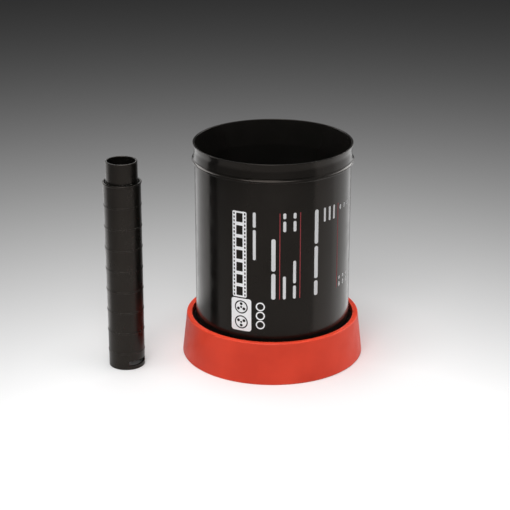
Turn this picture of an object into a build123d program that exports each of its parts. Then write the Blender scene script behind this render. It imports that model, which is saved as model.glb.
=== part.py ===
from build123d import *
import os

# Extension module of a film developing tank, with its centre core standing beside it.
# Millimetres, +Z up. The origin is on the tank's axis, at the surface that the module stands on.
# The module stands on its locking ring, as it would sit on the rim of the tank below it.

# The stack: each module adds the same height to the tank and to the core inside it.
STACK_HEIGHT = 119.5     # from a module's sealing face to its own rim
SKIRT_DROP = 17.7        # how far the ring hangs below the sealing face
RIM_Z = SKIRT_DROP + STACK_HEIGHT

# Tank tube
TUBE_R = 48.0
WALL = 2.0
BORE_R = TUBE_R - WALL

# Rim: a thin lip, a waisted neck, and a flared bead that the next ring hooks under.
# Each drop is the height from the rim down to a corner of the outline, before it is rounded.
LIP_R = 49.1
LIP_THICKNESS = 1.3
MOUTH_FLARE_HEIGHT = 16.0
MOUTH_BEND = 6.0         # rounding where the bore opens into the flared mouth
WAIST_R = 48.4
WAIST_DROP = 4.0
WAIST_BEND = 8.0
FLARE_R = 48.6           # where the neck turns out towards the bead
FLARE_DROP = 9.6
FLARE_BEND = 1.5
BEAD_R = 49.6
BEAD_LAND_DROP = 10.4    # to the top of the bead's outer face
BEAD_LAND_HEIGHT = 1.0
BEAD_UNDERCUT_HEIGHT = 0.6

# Foot flange, its seal groove, and the spigot that enters the mouth of the tank below
FLANGE_R = 51.9
FLANGE_HEIGHT = 4.0
GROOVE_INNER_R = 47.0
GROOVE_OUTER_R = 50.2
GROOVE_DEPTH = 2.1
SPIGOT_DROP = 1.5
FLANGE_FILLET = 1.2

# Rubber seal, loose in its groove by SEAL_GAP on each side
SEAL_GAP = 0.1
SEAL_THICKNESS = 2.0

# Locking ring
RING_HEIGHT = 26.0
RING_BASE_R = 56.8
RING_TOP_R = 53.9
RING_MOUTH_R = 50.6      # slides on over the bead
RING_SKIRT_WALL = 2.2
RING_FLANGE_GAP = 0.1    # axial play of the flange in the ring, under it
RING_LIP_GAP = 0.3       # and above it
RING_CHAMBER_GAP = 0.4   # radial play of the flange in the ring
RING_EDGE = 0.5          # rounding at the ring's foot and mouth
RING_TOP_ROUNDING = 0.8
SLEEVE_R = 49.9          # passes over the bead of the tank below
SLEEVE_WALL = 1.5
SLEEVE_FOOT_Z = 2.4
WEB_THICKNESS = 3.1

# Spring fingers cut in the sleeve; every second one carries a hook
FINGER_COUNT = 12
SLOT_WIDTH = 1.5
SLOT_TOP_Z = 12.5
HOOK_COUNT = FINGER_COUNT // 2
HOOK_R = 48.6
HOOK_TOP_Z = 5.4
HOOK_ARC = 20.0
HOOK_CREST = 1.0         # height of the hook's inner face
HOOK_CATCH = 0.6         # height of its sloped top, which bears on the bead

# Core column, standing beside the tank
CORE_X = -91.8
CORE_Y = -19.5
CORE_BASE_R = 11.0
CORE_TOP_R = 11.45
CORE_BORE_R = 9.5
CORE_SOCKET_R = 9.75     # takes the spigot of the core below
CORE_SOCKET_DEPTH = 14.0
CORE_LIP_R = 11.9
CORE_LIP_HEIGHT = 1.0
CORE_SPIGOT_R = 9.7
CORE_SPIGOT_ROOT_R = 9.9
CORE_SPIGOT_BORE_R = 8.5
CORE_SPIGOT_HEIGHT = 12.8
CORE_RECESS_R = 10.75
CORE_RECESS_DEPTH = 3.0
CORE_WEB_THICKNESS = 1.8
CORE_WEB_SLOPE = 2.0     # height of the cone from the body's bore into the spigot's
CORE_FOOT_ROUNDING = 0.4

RIDGE_COUNT = 8
RIDGE_FIRST_Z = 10.6
RIDGE_PITCH = 13.5
RIDGE_WIDTH = 1.0
RIDGE_HEIGHT = 0.22
RIDGE_ROUNDING = 0.15

WINDOW_Z = 2.5
WINDOW_HEIGHT = 3.0
WINDOW_ARC = 90.0
WINDOW_START = -82.0     # degrees from +X, anticlockwise seen from above

SHARP = 0.0
FINE = 0.2               # rounding in narrow corners
BREAK = 0.3              # small rounding of moulded edges
OVERLAP = 0.5            # how far a joined or cutting solid reaches into its neighbour


def turned(corners, arc=360.0):
    """A body of revolution about Z, from corners given as (radius, height, rounding)."""
    points = [(radius, 0, height) for radius, height, _ in corners]
    roundings = [rounding for _, _, rounding in corners]
    outline = FilletPolyline(*points, radius=roundings, close=True)
    return revolve(make_face(outline), Axis.Z, arc)


def ring_outer_r(height):
    """Radius of the locking ring's conical outside at a height."""
    return RING_BASE_R + (RING_TOP_R - RING_BASE_R) * height / RING_HEIGHT


def core_outer_r(height):
    """Radius of the core column's slightly tapered outside at a height."""
    return CORE_BASE_R + (CORE_TOP_R - CORE_BASE_R) * height / STACK_HEIGHT


def tank_tube():
    land_top = RIM_Z - BEAD_LAND_DROP
    land_foot = land_top - BEAD_LAND_HEIGHT
    flange_top = SKIRT_DROP + FLANGE_HEIGHT
    groove_top = SKIRT_DROP + GROOVE_DEPTH
    spigot_foot = SKIRT_DROP - SPIGOT_DROP
    return turned([
        (BORE_R, spigot_foot, BREAK),
        (BORE_R, RIM_Z - MOUTH_FLARE_HEIGHT, MOUTH_BEND),
        (LIP_R - LIP_THICKNESS, RIM_Z, BREAK),
        (LIP_R, RIM_Z, BREAK),
        (WAIST_R, RIM_Z - WAIST_DROP, WAIST_BEND),
        (FLARE_R, RIM_Z - FLARE_DROP, FLARE_BEND),
        (BEAD_R, land_top, BREAK),
        (BEAD_R, land_foot, BREAK),
        (TUBE_R, land_foot - BEAD_UNDERCUT_HEIGHT, BREAK),
        (TUBE_R, flange_top, FLANGE_FILLET),
        (FLANGE_R, flange_top, BREAK),
        (FLANGE_R, SKIRT_DROP, BREAK),
        (GROOVE_OUTER_R, SKIRT_DROP, SHARP),
        (GROOVE_OUTER_R, groove_top, SHARP),
        (GROOVE_INNER_R, groove_top, SHARP),
        (GROOVE_INNER_R, spigot_foot, BREAK),
    ])


def seal_ring():
    seal_top = SKIRT_DROP + GROOVE_DEPTH
    inner_r = GROOVE_INNER_R + SEAL_GAP
    outer_r = GROOVE_OUTER_R - SEAL_GAP
    return turned([
        (inner_r, seal_top - SEAL_THICKNESS, BREAK),
        (outer_r, seal_top - SEAL_THICKNESS, BREAK),
        (outer_r, seal_top, SHARP),
        (inner_r, seal_top, SHARP),
    ])


def lock_ring():
    shelf_z = SKIRT_DROP - RING_FLANGE_GAP
    lip_z = SKIRT_DROP + FLANGE_HEIGHT + RING_LIP_GAP
    web_z = shelf_z - WEB_THICKNESS
    chamber_r = FLANGE_R + RING_CHAMBER_GAP
    ring = turned([
        (RING_BASE_R, 0, RING_EDGE),
        (RING_TOP_R, RING_HEIGHT, RING_TOP_ROUNDING),
        (RING_MOUTH_R, RING_HEIGHT, RING_EDGE),
        (RING_MOUTH_R, lip_z, BREAK),
        (chamber_r, lip_z, SHARP),
        (chamber_r, shelf_z, SHARP),
        (SLEEVE_R, shelf_z, BREAK),
        (SLEEVE_R, SLEEVE_FOOT_Z, BREAK),
        (SLEEVE_R + SLEEVE_WALL, SLEEVE_FOOT_Z, BREAK),
        (SLEEVE_R + SLEEVE_WALL, web_z, SHARP),
        (ring_outer_r(web_z) - RING_SKIRT_WALL, web_z, SHARP),
        (RING_BASE_R - RING_SKIRT_WALL, 0, BREAK),
    ])
    return ring - sleeve_slots() + sleeve_hooks()


def sleeve_slots():
    """The cuts that divide the sleeve into fingers."""
    slot_foot = SLEEVE_FOOT_Z - OVERLAP
    slot = Pos(SLEEVE_R + SLEEVE_WALL / 2, 0, (slot_foot + SLOT_TOP_Z) / 2) * Box(
        SLEEVE_WALL + 2 * OVERLAP, SLOT_WIDTH, SLOT_TOP_Z - slot_foot
    )
    return [Rot(0, 0, 360 / FINGER_COUNT * (i + 0.5)) * slot for i in range(FINGER_COUNT)]


def sleeve_hooks():
    """The hooks that snap under the bead of the tank below."""
    hook = turned([
        (SLEEVE_R + OVERLAP, SLEEVE_FOOT_Z + BREAK, SHARP),
        (SLEEVE_R - BREAK, SLEEVE_FOOT_Z + BREAK, SHARP),
        (HOOK_R, HOOK_TOP_Z - HOOK_CATCH - HOOK_CREST, FINE),
        (HOOK_R, HOOK_TOP_Z - HOOK_CATCH, FINE),
        (SLEEVE_R, HOOK_TOP_Z, SHARP),
        (SLEEVE_R + OVERLAP, HOOK_TOP_Z, SHARP),
    ], HOOK_ARC)
    return [Rot(0, 0, 360 / HOOK_COUNT * i - HOOK_ARC / 2) * hook for i in range(HOOK_COUNT)]


def core_column():
    top = STACK_HEIGHT + CORE_SPIGOT_HEIGHT
    recess_floor = STACK_HEIGHT - CORE_RECESS_DEPTH
    web_foot = recess_floor - CORE_WEB_THICKNESS
    lip_foot = STACK_HEIGHT - CORE_LIP_HEIGHT
    core = turned([
        (CORE_SOCKET_R, 0, BREAK),
        (CORE_SOCKET_R, CORE_SOCKET_DEPTH, SHARP),
        (CORE_BORE_R, CORE_SOCKET_DEPTH, SHARP),
        (CORE_BORE_R, web_foot - CORE_WEB_SLOPE, SHARP),
        (CORE_SPIGOT_BORE_R, web_foot, SHARP),
        (CORE_SPIGOT_BORE_R, top, BREAK),
        (CORE_SPIGOT_R, top, BREAK),
        (CORE_SPIGOT_R, STACK_HEIGHT, SHARP),
        (CORE_SPIGOT_ROOT_R, STACK_HEIGHT, SHARP),
        (CORE_SPIGOT_ROOT_R, recess_floor, FINE),
        (CORE_RECESS_R, recess_floor, FINE),
        (CORE_RECESS_R, STACK_HEIGHT, BREAK),
        (CORE_LIP_R, STACK_HEIGHT, BREAK),
        (CORE_LIP_R, lip_foot, BREAK),
        (core_outer_r(lip_foot), lip_foot - BREAK, SHARP),
        (CORE_BASE_R, 0, CORE_FOOT_ROUNDING),
    ])
    core += [core_ridge(RIDGE_FIRST_Z + RIDGE_PITCH * i) for i in range(RIDGE_COUNT)]
    core -= Rot(0, 0, WINDOW_START) * core_window()
    return Pos(CORE_X, CORE_Y, 0) * core


def core_ridge(height):
    """One of the fine raised bands round the core, centred on a height."""
    crest_r = core_outer_r(height) + RIDGE_HEIGHT
    root_r = core_outer_r(height) - OVERLAP
    low = height - RIDGE_WIDTH / 2
    high = height + RIDGE_WIDTH / 2
    return turned([
        (root_r, low, SHARP),
        (crest_r, low, RIDGE_ROUNDING),
        (crest_r, high, RIDGE_ROUNDING),
        (root_r, high, SHARP),
    ])


def core_window():
    """The cut for the drain window near the foot of the core."""
    inner_r = CORE_BORE_R - OVERLAP
    outer_r = CORE_TOP_R + OVERLAP
    return turned([
        (inner_r, WINDOW_Z, SHARP),
        (outer_r, WINDOW_Z, SHARP),
        (outer_r, WINDOW_Z + WINDOW_HEIGHT, SHARP),
        (inner_r, WINDOW_Z + WINDOW_HEIGHT, SHARP),
    ], WINDOW_ARC)


os.makedirs("parts", exist_ok=True)
for make_piece in (tank_tube, seal_ring, lock_ring, core_column):
    export_step(make_piece(), f"parts/{make_piece.__name__}.step")
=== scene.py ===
import math

import bmesh
import bpy
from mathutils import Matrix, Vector


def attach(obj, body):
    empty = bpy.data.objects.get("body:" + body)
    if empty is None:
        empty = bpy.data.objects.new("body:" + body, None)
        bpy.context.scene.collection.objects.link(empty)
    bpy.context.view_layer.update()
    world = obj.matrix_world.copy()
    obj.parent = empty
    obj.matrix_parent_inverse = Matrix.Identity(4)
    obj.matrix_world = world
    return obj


# Looks for the extension module of a film developing tank and its loose core.
# Metres, +Z up, in the same frame as the CAD. The printed side of the tube faces -Y.

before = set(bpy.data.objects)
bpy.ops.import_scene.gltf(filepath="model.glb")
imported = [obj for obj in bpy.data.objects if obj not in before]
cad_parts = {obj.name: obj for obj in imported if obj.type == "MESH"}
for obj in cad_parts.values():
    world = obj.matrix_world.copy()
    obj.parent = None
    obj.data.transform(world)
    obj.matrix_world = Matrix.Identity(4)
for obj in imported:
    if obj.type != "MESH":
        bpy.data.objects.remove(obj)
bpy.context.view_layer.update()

MM = 0.001
IMAGE_SIDE = 510            # pixels
SENSOR = 36.0               # Blender's sensor width, in mm


# ---------------------------------------------------------------- camera

FOCAL_PIXELS = 1600.0
CAMERA_PLACE = (-0.0584, -0.9334, 0.4172)
CAMERA_PITCH = math.radians(-20.75)
CAMERA_YAW = math.radians(2.91)          # towards +X


def make_camera():
    data = bpy.data.cameras.new("camera")
    data.sensor_width = SENSOR
    data.lens = FOCAL_PIXELS / IMAGE_SIDE * SENSOR
    camera = bpy.data.objects.new("camera", data)
    camera.location = CAMERA_PLACE
    camera.rotation_euler = (math.pi / 2 + CAMERA_PITCH, 0, -CAMERA_YAW)
    bpy.context.scene.collection.objects.link(camera)
    bpy.context.scene.camera = camera


# ---------------------------------------------------------------- node helpers

def add(tree, kind, sockets=None, **settings):
    """A node with its settings, and its sockets set to values or linked to other nodes' outputs."""
    node = tree.nodes.new(kind)
    for name, value in settings.items():
        setattr(node, name, value)
    for name, value in (sockets or {}).items():
        if isinstance(value, bpy.types.NodeSocket):
            tree.links.new(value, node.inputs[name])
        else:
            node.inputs[name].default_value = value
    return node


def noise(tree, coords, feature, detail=2.0, stretch=(1, 1, 1)):
    """Cloudy noise from 0 to 1 whose features are about the given size in metres."""
    mapping = add(tree, "ShaderNodeMapping", {"Vector": coords, "Scale": stretch})
    texture = add(tree, "ShaderNodeTexNoise", {
        "Vector": mapping.outputs["Vector"],
        "Scale": 1 / feature,
        "Detail": detail,
    })
    return texture.outputs["Fac"]


def remap(tree, value, low, high, to_low, to_high):
    """A value moved from one range to another, and held inside the second."""
    node = add(tree, "ShaderNodeMapRange", {
        "Value": value,
        "From Min": low,
        "From Max": high,
        "To Min": to_low,
        "To Max": to_high,
    })
    return node.outputs["Result"]


def maths(tree, operation, *values):
    node = add(tree, "ShaderNodeMath", dict(enumerate(values)), operation=operation)
    return node.outputs["Value"]


# the places of the colour sockets in a Mix node, whose sockets share their names
MIX_FIRST = 6
MIX_SECOND = 7
MIX_RESULT = 2


def blend_colours(tree, factor, first, second):
    node = add(tree, "ShaderNodeMix", {"Factor": factor}, data_type="RGBA")
    for place, value in ((MIX_FIRST, first), (MIX_SECOND, second)):
        if isinstance(value, bpy.types.NodeSocket):
            tree.links.new(value, node.inputs[place])
        else:
            node.inputs[place].default_value = (*value, 1)
    return node.outputs[MIX_RESULT]


EVEN = 0.985                # how alike two normals are, as the cosine of their angle
SHARP = 0.85
BEVEL_SAMPLES = 6


def edge_mask(tree, reach):
    """1 on sharp edges and 0 on even surfaces, from how far the normal turns within a reach."""
    rounded = add(tree, "ShaderNodeBevel", {"Radius": reach}, samples=BEVEL_SAMPLES)
    geometry = add(tree, "ShaderNodeNewGeometry")
    alike = add(tree, "ShaderNodeVectorMath", {
        0: rounded.outputs["Normal"],
        1: geometry.outputs["Normal"],
    }, operation="DOT_PRODUCT")
    return remap(tree, alike.outputs["Value"], EVEN, SHARP, 0.0, 1.0)


# ---------------------------------------------------------------- materials

CLOUD_SIZE = 28 * MM        # slow changes of shade
SMUDGE_SIZE = 9 * MM        # handling marks in the gloss
HAIRLINE_SIZE = 0.7 * MM    # fine upright scratches
HAIRLINE_STRETCH = (1, 1, 0.03)
HAIRLINE_SHARE = 0.3
EDGE_BREAKUP_SIZE = 2.2 * MM         # gaps in the wear and painted highlight along an edge
EDGE_BREAKUP_RANGE = (0.42, 0.62)
WORN_ROUGHNESS = 0.2        # how much rougher a rubbed edge is
NOISE_RANGE = (0.35, 0.65)  # where most of a noise texture's values lie
WARM_GLINT = (1.0, 0.86, 0.76)


def moulded(name, dark, light, worn_and_highlight, roughness, grain, grain_depth, wear_and_highlight,
            gloss=0.5, edge=0.5 * MM, tint=(1, 1, 1)):
    """Moulded plastic, rubber or ink: two close shades in slow clouds, smudged gloss, grain, and
    edges in a lighter worn colour, which is wear and, on the red ring, partly a painted highlight.
    roughness is (lowest, highest); grain and edge are sizes in metres."""
    material = bpy.data.materials.new(name)
    material.use_nodes = True
    tree = material.node_tree
    shader = tree.nodes["Principled BSDF"]
    coords = add(tree, "ShaderNodeTexCoord").outputs["Object"]

    clouds = noise(tree, coords, CLOUD_SIZE, detail=3.0)
    shade = blend_colours(tree, remap(tree, clouds, *NOISE_RANGE, 0.0, 1.0), dark, light)
    # lighter colour along edges: wear, and on the red ring partly a painted highlight
    rubbing_and_highlight = remap(tree, noise(tree, coords, EDGE_BREAKUP_SIZE, detail=5.0), *EDGE_BREAKUP_RANGE, 0.0, wear_and_highlight)
    rubbed_and_highlit = maths(tree, "MULTIPLY", edge_mask(tree, edge), rubbing_and_highlight)
    tree.links.new(blend_colours(tree, rubbed_and_highlit, shade, worn_and_highlight), shader.inputs["Base Color"])

    smudges = noise(tree, coords, SMUDGE_SIZE, detail=4.0)
    hairlines = noise(tree, coords, HAIRLINE_SIZE, stretch=HAIRLINE_STRETCH)
    smudges = maths(tree, "MULTIPLY", smudges, 1 - HAIRLINE_SHARE)
    hairlines = maths(tree, "MULTIPLY", hairlines, HAIRLINE_SHARE)
    rough = remap(tree, maths(tree, "ADD", smudges, hairlines), *NOISE_RANGE, *roughness)
    rough = maths(tree, "ADD", rough, maths(tree, "MULTIPLY", rubbed_and_highlit, WORN_ROUGHNESS))
    tree.links.new(rough, shader.inputs["Roughness"])

    bump = add(tree, "ShaderNodeBump", {
        "Height": noise(tree, coords, grain, detail=3.0),
        "Strength": 1.0,
        "Distance": grain_depth,
    })
    tree.links.new(bump.outputs["Normal"], shader.inputs["Normal"])
    shader.inputs["Specular IOR Level"].default_value = gloss
    shader.inputs["Specular Tint"].default_value = (*tint, 1)
    return material


def tube_plastic():
    return moulded(
        "tube_gloss_black",
        dark=(0.0042, 0.0039, 0.0034),
        light=(0.0063, 0.0059, 0.0053),
        worn_and_highlight=(0.05, 0.048, 0.045),
        roughness=(0.13, 0.27),
        grain=0.5 * MM,
        grain_depth=0.006 * MM,
        wear_and_highlight=0.6,
        gloss=0.17,
        tint=WARM_GLINT,
    )


def seal_rubber():
    return moulded(
        "seal_rubber_black",
        dark=(0.018, 0.018, 0.019),
        light=(0.03, 0.03, 0.031),
        worn_and_highlight=(0.06, 0.06, 0.06),
        roughness=(0.6, 0.8),
        grain=0.25 * MM,
        grain_depth=0.02 * MM,
        wear_and_highlight=0.4,
    )


def ring_plastic():
    return moulded(
        "ring_satin_red",
        dark=(0.56, 0.037, 0.014),
        light=(0.66, 0.049, 0.02),
        # the strong, wide, light edge colour is partly wear and partly a painted highlight along the
        # ring's top edge
        worn_and_highlight=(0.8, 0.16, 0.09),
        roughness=(0.34, 0.52),
        grain=0.35 * MM,
        grain_depth=0.06 * MM,
        wear_and_highlight=0.9,
        gloss=0.22,
        edge=1.6 * MM,
    )


def core_plastic():
    return moulded(
        "core_satin_black",
        dark=(0.0038, 0.0035, 0.003),
        light=(0.0063, 0.0058, 0.005),
        worn_and_highlight=(0.06, 0.057, 0.052),
        roughness=(0.24, 0.38),
        grain=0.4 * MM,
        grain_depth=0.035 * MM,
        wear_and_highlight=0.8,
        gloss=0.29,
        tint=WARM_GLINT,
    )


def ink(name, dark, light, worn_and_highlight):
    return moulded(
        name, dark, light, worn_and_highlight,
        roughness=(0.35, 0.5),
        grain=0.3 * MM,
        grain_depth=0.004 * MM,
        wear_and_highlight=0.5,
        edge=0.1 * MM,
    )


# ---------------------------------------------------------------- stage

FLOOR_RADIUS = 8.0
FLOOR_SEGMENTS = 96
PAPER_ROUGHNESS = 0.9
PALE_CENTRE = (-0.01, -0.22, 0)
PALE_REACH = 0.175          # the floor is palest within this distance of the pale centre
PALEST = 0.94               # reflectance there
DARKEST = 0.03              # reflectance far away
FADE_RATE = 3.4             # per metre


def floor_paper():
    """Pale paper whose colour darkens away from a point in front of the object: a painted pool of light,
    in place of light falling off with distance.
    """
    material = bpy.data.materials.new("floor_paper")
    material.use_nodes = True
    tree = material.node_tree
    shader = tree.nodes["Principled BSDF"]
    coords = add(tree, "ShaderNodeTexCoord").outputs["Object"]
    # painted light: the colour fades with the distance from the pale centre
    offset = add(tree, "ShaderNodeVectorMath", {0: coords, 1: PALE_CENTRE}, operation="DISTANCE")
    beyond = maths(tree, "SUBTRACT", offset.outputs["Value"], PALE_REACH)
    fade = maths(tree, "EXPONENT", maths(tree, "MULTIPLY", beyond, -FADE_RATE))
    level = maths(tree, "MINIMUM", maths(tree, "ADD", fade, DARKEST), PALEST)
    tree.links.new(level, shader.inputs["Base Color"])
    shader.inputs["Roughness"].default_value = PAPER_ROUGHNESS
    shader.inputs["Specular IOR Level"].default_value = 0.0
    return material


def make_floor():
    mesh = bpy.data.meshes.new("floor")
    disc = bmesh.new()
    bmesh.ops.create_circle(disc, cap_ends=True, radius=FLOOR_RADIUS, segments=FLOOR_SEGMENTS)
    disc.to_mesh(mesh)
    disc.free()
    floor = bpy.data.objects.new("floor", mesh)
    mesh.materials.append(floor_paper())
    bpy.context.scene.collection.objects.link(floor)


# ---------------------------------------------------------------- light

SKY_STRENGTH = 0.38         # overhead
HAZE_STRENGTH = 0.12        # near the horizon, which keeps flat glossy edges dark
HAZE_TOP = 0.4              # the heights between which one turns into the other, on a sphere
SKY_FOOT = 0.75             # of radius 1

# Softboxes: (name, place, the point that it faces, size, radiance, and the nodes that it lights, or none
# for all). The pair at the back makes the thin bright line along the bead.
SOFTBOXES = (
    ("overhead", (-0.1, -0.1, 1.5), (0, 0, 0), (0.85, 0.85), 6.3, ()),
    ("front", (-0.3, -1.2, 1.3), (0, 0, 0), (1.0, 0.8), 4.2, ()),
    ("right", (0.65, 0.25, 0.3), (0, 0, 0.01), (0.5, 0.6), 3.0, ("lock_ring",)),
    ("back_left", (-0.75, 0.65, 0.65), (0, 0, 0.12), (0.5, 0.7), 6.5, ("tank_tube",)),
    ("back_right", (0.75, 0.65, 0.65), (0, 0, 0.12), (0.5, 0.7), 6.5, ("tank_tube",)),
)

# Upright cards of light close beside the object, for the gloss at the edges of some nodes.
CARD_HEIGHT = 0.16
TUBE_CARD_REACH = 0.08      # from the tube's axis
# Cards that face the tube: (name, degrees from the tube's front towards +X, width, radiance).
TUBE_CARDS = (
    ("right_card", 98, 0.078, 1.2),
    ("right_front_card", 56, 0.04, 0.8),
)
LEFT_CARD_PLACE = (-0.125, 0.035)
LEFT_CARD_FACING = (0.61, -0.79)
LEFT_CARD_WIDTH = 0.13
LEFT_CARD_RADIANCE = 1.1


def softbox(name, place, aim, size, radiance, receivers=()):
    """A square light of an even brightness, turned towards a point, for all or only some nodes."""
    data = bpy.data.lights.new(name, "AREA")
    data.shape = "RECTANGLE"
    data.size, data.size_y = size
    data.energy = radiance * math.pi * size[0] * size[1]
    light = bpy.data.objects.new(name, data)
    light.location = place
    light.rotation_euler = (Vector(aim) - Vector(place)).to_track_quat("-Z", "Y").to_euler()
    light.visible_camera = False
    if receivers:
        lit = bpy.data.collections.new(name + "_lights")
        for node_name in receivers:
            lit.objects.link(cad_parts[node_name])
        light.light_linking.receiver_collection = lit
    bpy.context.scene.collection.objects.link(light)


def edge_card(name, place, facing, width, radiance, receivers):
    """A card of light that stands at a place and faces a direction, both seen from above."""
    place = Vector((*place, CARD_HEIGHT / 2))
    aim = place + Vector((*facing, 0))
    softbox(name, place, aim, (width, CARD_HEIGHT), radiance, receivers)


def tube_card(name, turn, width, radiance):
    """An edge card for the tube alone, facing its axis, a turn in degrees from its front to +X."""
    outward = Vector((math.sin(math.radians(turn)), -math.cos(math.radians(turn))))
    edge_card(name, outward * TUBE_CARD_REACH, -outward, width, radiance, ("tank_tube",))


def make_light():
    world = bpy.data.worlds.new("studio")
    world.use_nodes = True
    tree = world.node_tree
    background = tree.nodes["Background"]
    background.inputs["Color"].default_value = (1, 1, 1, 1)
    direction = add(tree, "ShaderNodeTexCoord").outputs["Generated"]
    height = add(tree, "ShaderNodeSeparateXYZ", {"Vector": direction}).outputs["Z"]
    strength = remap(tree, height, HAZE_TOP, SKY_FOOT, HAZE_STRENGTH, SKY_STRENGTH)
    tree.links.new(strength, background.inputs["Strength"])
    bpy.context.scene.world = world
    for box in SOFTBOXES:
        softbox(*box)
    for card in TUBE_CARDS:
        tube_card(*card)
    edge_card(
        "left_card", LEFT_CARD_PLACE, LEFT_CARD_FACING, LEFT_CARD_WIDTH, LEFT_CARD_RADIANCE,
        ("tank_tube", "core_column"),
    )


# ---------------------------------------------------------------- ink on the tube

# Plain bars, rules and pictograms in the places of the printed panel. Shapes are drawn flat, in mm:
# across is round the tube from the middle of its front towards +X, and along is the height.
TUBE_R = 48.0                            # as in the CAD
INK_FOOT_R = TUBE_R - 0.02
INK_TOP_R = TUBE_R + 0.05
WRAP_STEP = math.radians(2.5) * TUBE_R   # the widest flat facet round the tube
SAME_POINT = 1e-4                        # points nearer to each other than this are joined
CORNER_STEPS = 6                         # in the quarter circle of a rounded corner
CIRCLE_STEPS = 36
PANEL_FOOT = 52.5
PANEL_TOP = 107.0
PANEL_LENGTH = PANEL_TOP - PANEL_FOOT
PANEL_MIDDLE = (PANEL_TOP + PANEL_FOOT) / 2


def across_at(degrees):
    return math.radians(degrees) * TUBE_R


def rounded_bar(across, along, width, length, rounding):
    """The outline of a rectangle with round corners, about its middle."""
    outline = []
    for turn, (side, end) in enumerate(((1, 1), (-1, 1), (-1, -1), (1, -1))):
        corner_across = across + side * (width / 2 - rounding)
        corner_along = along + end * (length / 2 - rounding)
        for step in range(CORNER_STEPS + 1):
            angle = math.pi / 2 * (turn + step / CORNER_STEPS)
            outline.append((
                corner_across + rounding * math.cos(angle),
                corner_along + rounding * math.sin(angle),
            ))
    return outline


def circle(across, along, radius):
    angles = [math.tau * step / CIRCLE_STEPS for step in range(CIRCLE_STEPS)]
    return [(across + radius * math.cos(a), along + radius * math.sin(a)) for a in angles]


def filled(outlines):
    """A flat bmesh of outlines, where one inside another is a hole in it."""
    curve = bpy.data.curves.new("outlines", "CURVE")
    curve.dimensions = "2D"
    curve.fill_mode = "BOTH"
    for outline in outlines:
        spline = curve.splines.new("POLY")
        spline.points.add(len(outline) - 1)
        spline.use_cyclic_u = True
        for point, (across, along) in zip(spline.points, outline):
            point.co = (across, along, 0, 1)
    holder = bpy.data.objects.new("outlines", curve)
    flat_mesh = bpy.data.meshes.new_from_object(holder)
    flat = bmesh.new()
    flat.from_mesh(flat_mesh)
    bpy.data.objects.remove(holder)
    bpy.data.curves.remove(curve)
    bpy.data.meshes.remove(flat_mesh)
    bmesh.ops.remove_doubles(flat, verts=flat.verts, dist=SAME_POINT)
    return flat


def cut_for_wrapping(flat):
    """Cuts a flat bmesh into upright strips, narrow enough to follow the tube."""
    widest = max(abs(v.co.x) for v in flat.verts)
    for step in range(-int(widest / WRAP_STEP), int(widest / WRAP_STEP) + 1):
        everything = flat.verts[:] + flat.edges[:] + flat.faces[:]
        cut = (step * WRAP_STEP, 0, 0)
        bmesh.ops.bisect_plane(flat, geom=everything, plane_co=cut, plane_no=(1, 0, 0))


def wrapped(flat):
    """A flat bmesh wrapped round the tube, as a closed layer of ink."""
    solid = bmesh.new()
    sides = []
    for radius in (INK_FOOT_R, INK_TOP_R):
        side = {}
        for vert in flat.verts:
            turn = vert.co.x / TUBE_R
            place = (radius * math.sin(turn), -radius * math.cos(turn), vert.co.y)
            side[vert] = solid.verts.new(Vector(place) * MM)
        sides.append(side)
    foot, top = sides
    for face in flat.faces:
        solid.faces.new([top[v] for v in face.verts])
        solid.faces.new([foot[v] for v in reversed(face.verts)])
    for edge in flat.edges:
        if edge.is_boundary:
            a, b = edge.verts
            solid.faces.new([foot[a], foot[b], top[b], top[a]])
    bmesh.ops.recalc_face_normals(solid, faces=solid.faces)
    return solid


def print_piece(name, outlines, material):
    """A thin layer of ink in the shape of the outlines, wrapped round the tube."""
    flat = filled(outlines)
    cut_for_wrapping(flat)
    solid = wrapped(flat)
    mesh = bpy.data.meshes.new(name)
    solid.to_mesh(mesh)
    solid.free()
    flat.free()
    mesh.materials.append(material)
    piece = bpy.data.objects.new(name, mesh)
    bpy.context.scene.collection.objects.link(piece)
    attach(piece, "tank")


STRIP_ANGLE = -27.8
STRIP_WIDTH = 9.1
STRIP_ROUNDING = 0.9
HOLE_PITCH = 2.34
HOLE_WIDTH = 0.9
HOLE_LENGTH = 1.35
HOLE_INSET = 1.05
HOLE_ROUNDING = 0.25
FRAME_COUNT = 7
FRAME_WIDTH = 4.2
FRAME_LENGTH = 5.7
FRAME_ROUNDING = 0.4


def film_strip():
    """A strip of film with sprocket holes and frames, the height of the panel."""
    across = across_at(STRIP_ANGLE)
    outlines = [rounded_bar(across, PANEL_MIDDLE, STRIP_WIDTH, PANEL_LENGTH, STRIP_ROUNDING)]
    hole_count = int(PANEL_LENGTH / HOLE_PITCH)
    for i in range(hole_count):
        along = PANEL_MIDDLE + (i - (hole_count - 1) / 2) * HOLE_PITCH
        for side in (-1, 1):
            hole_across = across + side * (STRIP_WIDTH / 2 - HOLE_INSET)
            outlines.append(rounded_bar(hole_across, along, HOLE_WIDTH, HOLE_LENGTH, HOLE_ROUNDING))
    for i in range(FRAME_COUNT):
        along = PANEL_MIDDLE + (i - (FRAME_COUNT - 1) / 2) * PANEL_LENGTH / FRAME_COUNT
        outlines.append(rounded_bar(across, along, FRAME_WIDTH, FRAME_LENGTH, FRAME_ROUNDING))
    return outlines


BADGE_ANGLE = -26.6
BADGE_ALONG = 41.2
BADGE_WIDTH = 13.0
BADGE_LENGTH = 21.0
BADGE_ROUNDING = 1.7
REEL_SHIFT = 4.9            # from the middle of the badge to the middle of a reel
REEL_LINE_RADII = (4.3, 3.5)
REEL_HUB_R = 0.7
REEL_HOLE_COUNT = 3
REEL_HOLE_R = 0.95
REEL_HOLE_SHIFT = 2.1       # from the middle of the reel


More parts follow.
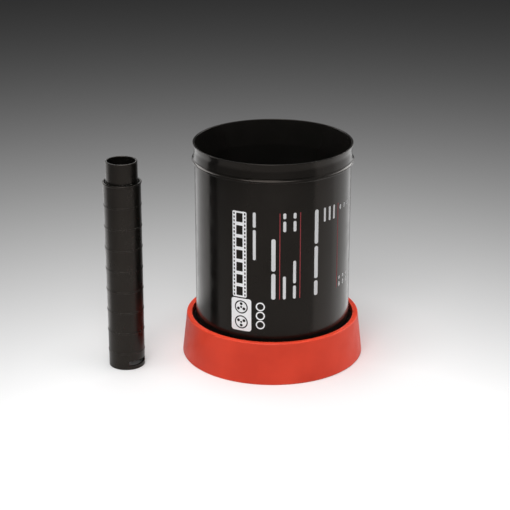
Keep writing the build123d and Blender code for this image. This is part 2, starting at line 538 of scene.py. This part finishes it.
def reel_badge():
    """A plain plate with two reels left open in it."""
    across = across_at(BADGE_ANGLE)
    outlines = [rounded_bar(across, BADGE_ALONG, BADGE_WIDTH, BADGE_LENGTH, BADGE_ROUNDING)]
    for side in (-1, 1):
        along = BADGE_ALONG + side * REEL_SHIFT
        for radius in (*REEL_LINE_RADII, REEL_HUB_R):
            outlines.append(circle(across, along, radius))
        for i in range(REEL_HOLE_COUNT):
            angle = math.tau * i / REEL_HOLE_COUNT + side * math.pi / 2
            hole_across = across + REEL_HOLE_SHIFT * math.cos(angle)
            hole_along = along + REEL_HOLE_SHIFT * math.sin(angle)
            outlines.append(circle(hole_across, hole_along, REEL_HOLE_R))
    return outlines


MARK_ANGLE = -12.2
MARK_ALONG = 41.6
MARK_PITCH = 5.9
MARK_RADII = (2.8, 2.0)


def ring_marks():
    """Three open rings in a row, for the three reels that one module adds."""
    outlines = []
    for i in (-1, 0, 1):
        for radius in MARK_RADII:
            outlines.append(circle(across_at(MARK_ANGLE), MARK_ALONG + MARK_PITCH * i, radius))
    return outlines


# lines of plain word bars: (angle in degrees, bar width, where the line starts, lengths of its words)
WORD_GAP = 1.5
WORD_ROUNDING = 0.45        # of the bar's width
HEADING = 2.5
BODY_TEXT = 1.8
SMALL_TEXT = 1.5
LINES = [
    (-16.6, BODY_TEXT, 77.3, (19.0, 9.5)),
    (-2.9, HEADING, PANEL_FOOT, (16.5, 20.5)),
    (5.0, BODY_TEXT, PANEL_FOOT, (14.6,)),
    (5.0, BODY_TEXT, 95.3, (6.6, 3.6)),
    (12.4, BODY_TEXT, PANEL_FOOT, (8.4, 14.4)),
    (12.4, BODY_TEXT, 95.3, (6.6, 3.6)),
    (29.4, HEADING, PANEL_FOOT, (9.5, 20.5, 21.5)),
    (36.7, SMALL_TEXT, 98.2, (8.8,)),
    (41.5, SMALL_TEXT, 98.2, (8.8,)),
    (46.2, SMALL_TEXT, 98.2, (8.8,)),
    (54.3, SMALL_TEXT, 102.3, (3.0,)),
    (60.1, SMALL_TEXT, 102.3, (3.0,)),
    (66.0, SMALL_TEXT, 102.3, (3.0,)),
    (54.3, SMALL_TEXT, PANEL_FOOT, (3.2, 2.2)),
    (60.1, SMALL_TEXT, PANEL_FOOT, (3.2, 2.2)),
    (66.0, SMALL_TEXT, PANEL_FOOT, (3.2, 2.2)),
]


def word_bars():
    outlines = []
    for angle, width, start, lengths in LINES:
        for length in lengths:
            middle = start + length / 2
            outlines.append(rounded_bar(across_at(angle), middle, width, length, WORD_ROUNDING * width))
            start += length + WORD_GAP
    return outlines


RULE_ANGLES = (1.6, 16.5, 51.0)
RULE_WIDTH = 0.4
RULE_ROUNDING = 0.15


def rules():
    return [
        rounded_bar(across_at(angle), PANEL_MIDDLE, RULE_WIDTH, PANEL_LENGTH, RULE_ROUNDING)
        for angle in RULE_ANGLES
    ]


# ---------------------------------------------------------------- the scene

make_camera()
make_floor()
make_light()

NODE_MATERIALS = {
    "tank_tube": tube_plastic(),
    "seal_ring": seal_rubber(),
    "lock_ring": ring_plastic(),
    "core_column": core_plastic(),
}
for node_name, material in NODE_MATERIALS.items():
    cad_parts[node_name].material_slots[0].material = material

WHITE_INK = ink("ink_white", (0.88, 0.88, 0.89), (0.93, 0.93, 0.94), (0.6, 0.6, 0.6))
SMALL_PRINT_INK = ink("ink_small_print", (0.68, 0.68, 0.69), (0.76, 0.76, 0.77), (0.45, 0.45, 0.45))
RED_INK = ink("ink_red", (0.36, 0.03, 0.04), (0.45, 0.04, 0.05), (0.2, 0.02, 0.02))
print_piece("print_film_strip", film_strip(), WHITE_INK)
print_piece("print_badge", reel_badge(), WHITE_INK)
print_piece("print_rings", ring_marks(), WHITE_INK)
print_piece("print_words", word_bars(), SMALL_PRINT_INK)
print_piece("print_rules", rules(), RED_INK)

scene = bpy.context.scene
scene.view_settings.view_transform = "Standard"

bpy.context.view_layer.update()
